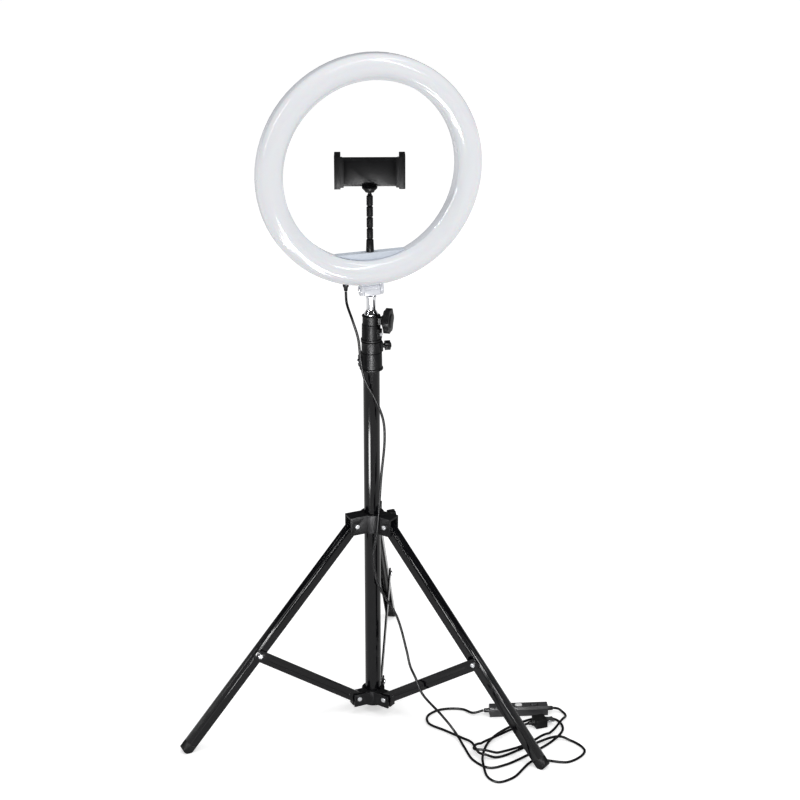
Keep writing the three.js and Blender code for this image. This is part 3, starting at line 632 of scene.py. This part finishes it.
neckShape = {
    "foot": -90, "link": 14.5, "gap": 0.4, "inset": 1.3, "forward": 0.003,  # the first four in mm
    "wire": 0.00055, "radius": 0.0038, "length": 0.0111, "perLink": 9,
}
reliefShape = {"start": 0.0412, "wire": 0.0006, "radius": 0.0026, "length": 0.0062, "perRelief": 5}
blackRibs, blackRibKeys = ribTree("satinBlack")
rubberRibs, rubberRibKeys = ribTree("rubberBlack")
neckAt = headAt @ Matrix.Translation((0, neckShape["forward"], 0))
for n in range(4):
    bottom = (neckShape["foot"] + neckShape["link"] * n + neckShape["gap"] + neckShape["inset"]) * mm
    grown(f"neckRibs{n + 1}", blackRibs, blackRibKeys, {
        "Radius": neckShape["radius"], "Wire": neckShape["wire"], "Length": neckShape["length"],
        "Count": neckShape["perLink"],
    }, neckAt @ Matrix.Translation((0, 0, bottom)), f"neck_{n + 1}")

caseMiddle = columnAt + Vector((*controllerAt["centre"], controllerAt["axis"]))
caseAt = Matrix.Translation(caseMiddle) @ Matrix.Rotation(math.radians(controllerAt["yaw"]), 4, "Z")
for side, name in ((-1, "leftReliefRibs"), (1, "rightReliefRibs")):
    start = (caseAt @ Matrix.Translation((side * reliefShape["start"], 0, 0))
             @ Matrix.Rotation(side * math.pi / 2, 4, "Y"))
    grown(name, rubberRibs, rubberRibKeys, {
        "Radius": reliefShape["radius"], "Wire": reliefShape["wire"], "Length": reliefShape["length"],
        "Count": reliefShape["perRelief"],
    }, start, "root")

rearScrews = {"circle": 0.1335, "head": 0.0026, "height": 0.0008, "count": 10,
              "face": 0.0119, "turn": 0.15}
screws, screwKeys = screwTree("platedSteel")
backFace = headAt @ Matrix.Translation((0, rearScrews["face"], 0)) @ Matrix.Rotation(-math.pi / 2, 4, "X")
grown("rearScrews", screws, screwKeys, {
    "Circle Radius": rearScrews["circle"], "Head Radius": rearScrews["head"],
    "Head Height": rearScrews["height"], "Count": rearScrews["count"],
}, backFace @ Matrix.Rotation(rearScrews["turn"], 4, "Z"), "ring_head")
say("ribs and screws")

# cords dressed; the main one baked in place, the tail one attached to the root body
for tube in (mainCord, tailCord):
    wears(tube, "cordBlack")
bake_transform(mainCord)
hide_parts("cord_main")
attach(tailCord, "root")
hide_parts("cord_tail")
say("cords declared")

# studio: floor, sky and lights
studio = {
    "floorSize": 40.0, "floorTone": (0.9, 0.9, 0.9), "floorGlow": 0.42,
    "skyStrength": 0.68, "skyInGloss": 0.08, "skyToCamera": 0.5,
    "overhead": {"power": 9.0, "size": (2.6, 0.3), "at": (1.0, -0.9, 3.0), "aim": (0, 0, 0.4)},
    "leftStrip": {"power": 8.0, "size": (0.06, 1.8), "at": (-1.8, -1.15, 1.7), "aim": (-0.12, -0.11, 0.15)},
    "rightStrip": {"power": 9.0, "size": (0.06, 1.8), "at": (1.5, -1.25, 1.95), "aim": (0.14, -0.15, 0.15)},
    "columnStrip": {"power": 4.0, "size": (0.055, 0.6), "at": (0.02, -0.42, 0.28),
                    "aim": (0.0136, -0.056, 0.28), "along": (0, 0, 1)},
    "rightLegStrip": {"power": 3.5, "size": (0.055, 0.6), "at": (0.158, -0.5, 0.34),
                      "aim": (0.182, -0.177, 0.19), "along": (0.536, -0.386, -0.751)},
    "leftLegStrip": {"power": 3.5, "size": (0.055, 0.6), "at": (-0.18, -0.48, 0.3),
                     "aim": (-0.175, -0.141, 0.19), "along": (-0.602, -0.272, -0.751)},
}


def areaLight(name, values):
    data = bpy.data.lights.new(name, "AREA")
    data.shape = "RECTANGLE"
    data.energy = values["power"]
    data.size, data.size_y = values["size"]
    lamp = bpy.data.objects.new(name, data)
    lamp.location = values["at"]
    aim = Vector(values["aim"]) - Vector(values["at"])
    lamp.rotation_euler = aim.to_track_quat("-Z", "Y").to_euler()
    if "along" in values:  # stands along a tube, and only its glossy faces see it
        back = -aim.normalized()
        across = Vector(values["along"]).cross(back).normalized()
        lamp.rotation_euler = Matrix((across, back.cross(across), back)).transposed().to_euler()
        lamp.visible_diffuse = False
    lamp.visible_camera = False
    bpy.context.collection.objects.link(lamp)


def floorMaterial(values):  # pale paper that keeps soft shadows and still looks white
    material = bpy.data.materials.new("floorWhite")
    material.use_nodes = True
    tree = material.node_tree
    shader = tree.nodes["Principled BSDF"]
    shader.inputs["Base Color"].default_value = (*values["floorTone"], 1)
    shader.inputs["Roughness"].default_value = 0.9
    shader.inputs["Specular IOR Level"].default_value = 0.1
    shader.inputs["Emission Color"].default_value = (1, 1, 1, 1)
    rays = tree.nodes.new("ShaderNodeLightPath")
    glow = tree.nodes.new("ShaderNodeMath")
    glow.operation = "MULTIPLY"
    glow.inputs[1].default_value = values["floorGlow"]
    link(tree, rays.outputs["Is Camera Ray"], glow.inputs[0])
    link(tree, glow.outputs[0], shader.inputs["Emission Strength"])
    return material


def skyWorld(values):  # even white light, dimmer where glossy faces mirror it
    world = bpy.data.worlds.new("studioSky")
    world.use_nodes = True
    tree = world.node_tree
    sky = tree.nodes["Background"]
    sky.inputs["Color"].default_value = (1, 1, 1, 1)
    rays = tree.nodes.new("ShaderNodeLightPath")
    strength = tree.nodes.new("ShaderNodeMapRange")
    strength.inputs["To Min"].default_value = values["skyStrength"]
    strength.inputs["To Max"].default_value = values["skyStrength"] * values["skyInGloss"]
    link(tree, rays.outputs["Is Glossy Ray"], strength.inputs["Value"])
    seen = tree.nodes.new("ShaderNodeMath")
    seen.operation = "MULTIPLY_ADD"
    seen.inputs[1].default_value = values["skyToCamera"]
    link(tree, rays.outputs["Is Camera Ray"], seen.inputs[0])
    link(tree, strength.outputs["Result"], seen.inputs[2])
    link(tree, seen.outputs[0], sky.inputs["Strength"])
    return world


def makeStudio(values):
    half = values["floorSize"] / 2
    data = bpy.data.meshes.new("studioFloor")
    corners = [(-half, -half, 0), (half, -half, 0), (half, half, 0), (-half, half, 0)]
    data.from_pydata(corners, [], [(0, 1, 2, 3)])
    floor = bpy.data.objects.new("studioFloor", data)
    bpy.context.collection.objects.link(floor)
    data.materials.append(floorMaterial(values))
    bpy.context.scene.world = skyWorld(values)
    bpy.context.scene.view_settings.view_transform = "Standard"
    for name in ("overhead", "leftStrip", "rightStrip", "columnStrip", "rightLegStrip", "leftLegStrip"):
        areaLight(name + "Light", values[name])


makeStudio(studio)
say("studio")
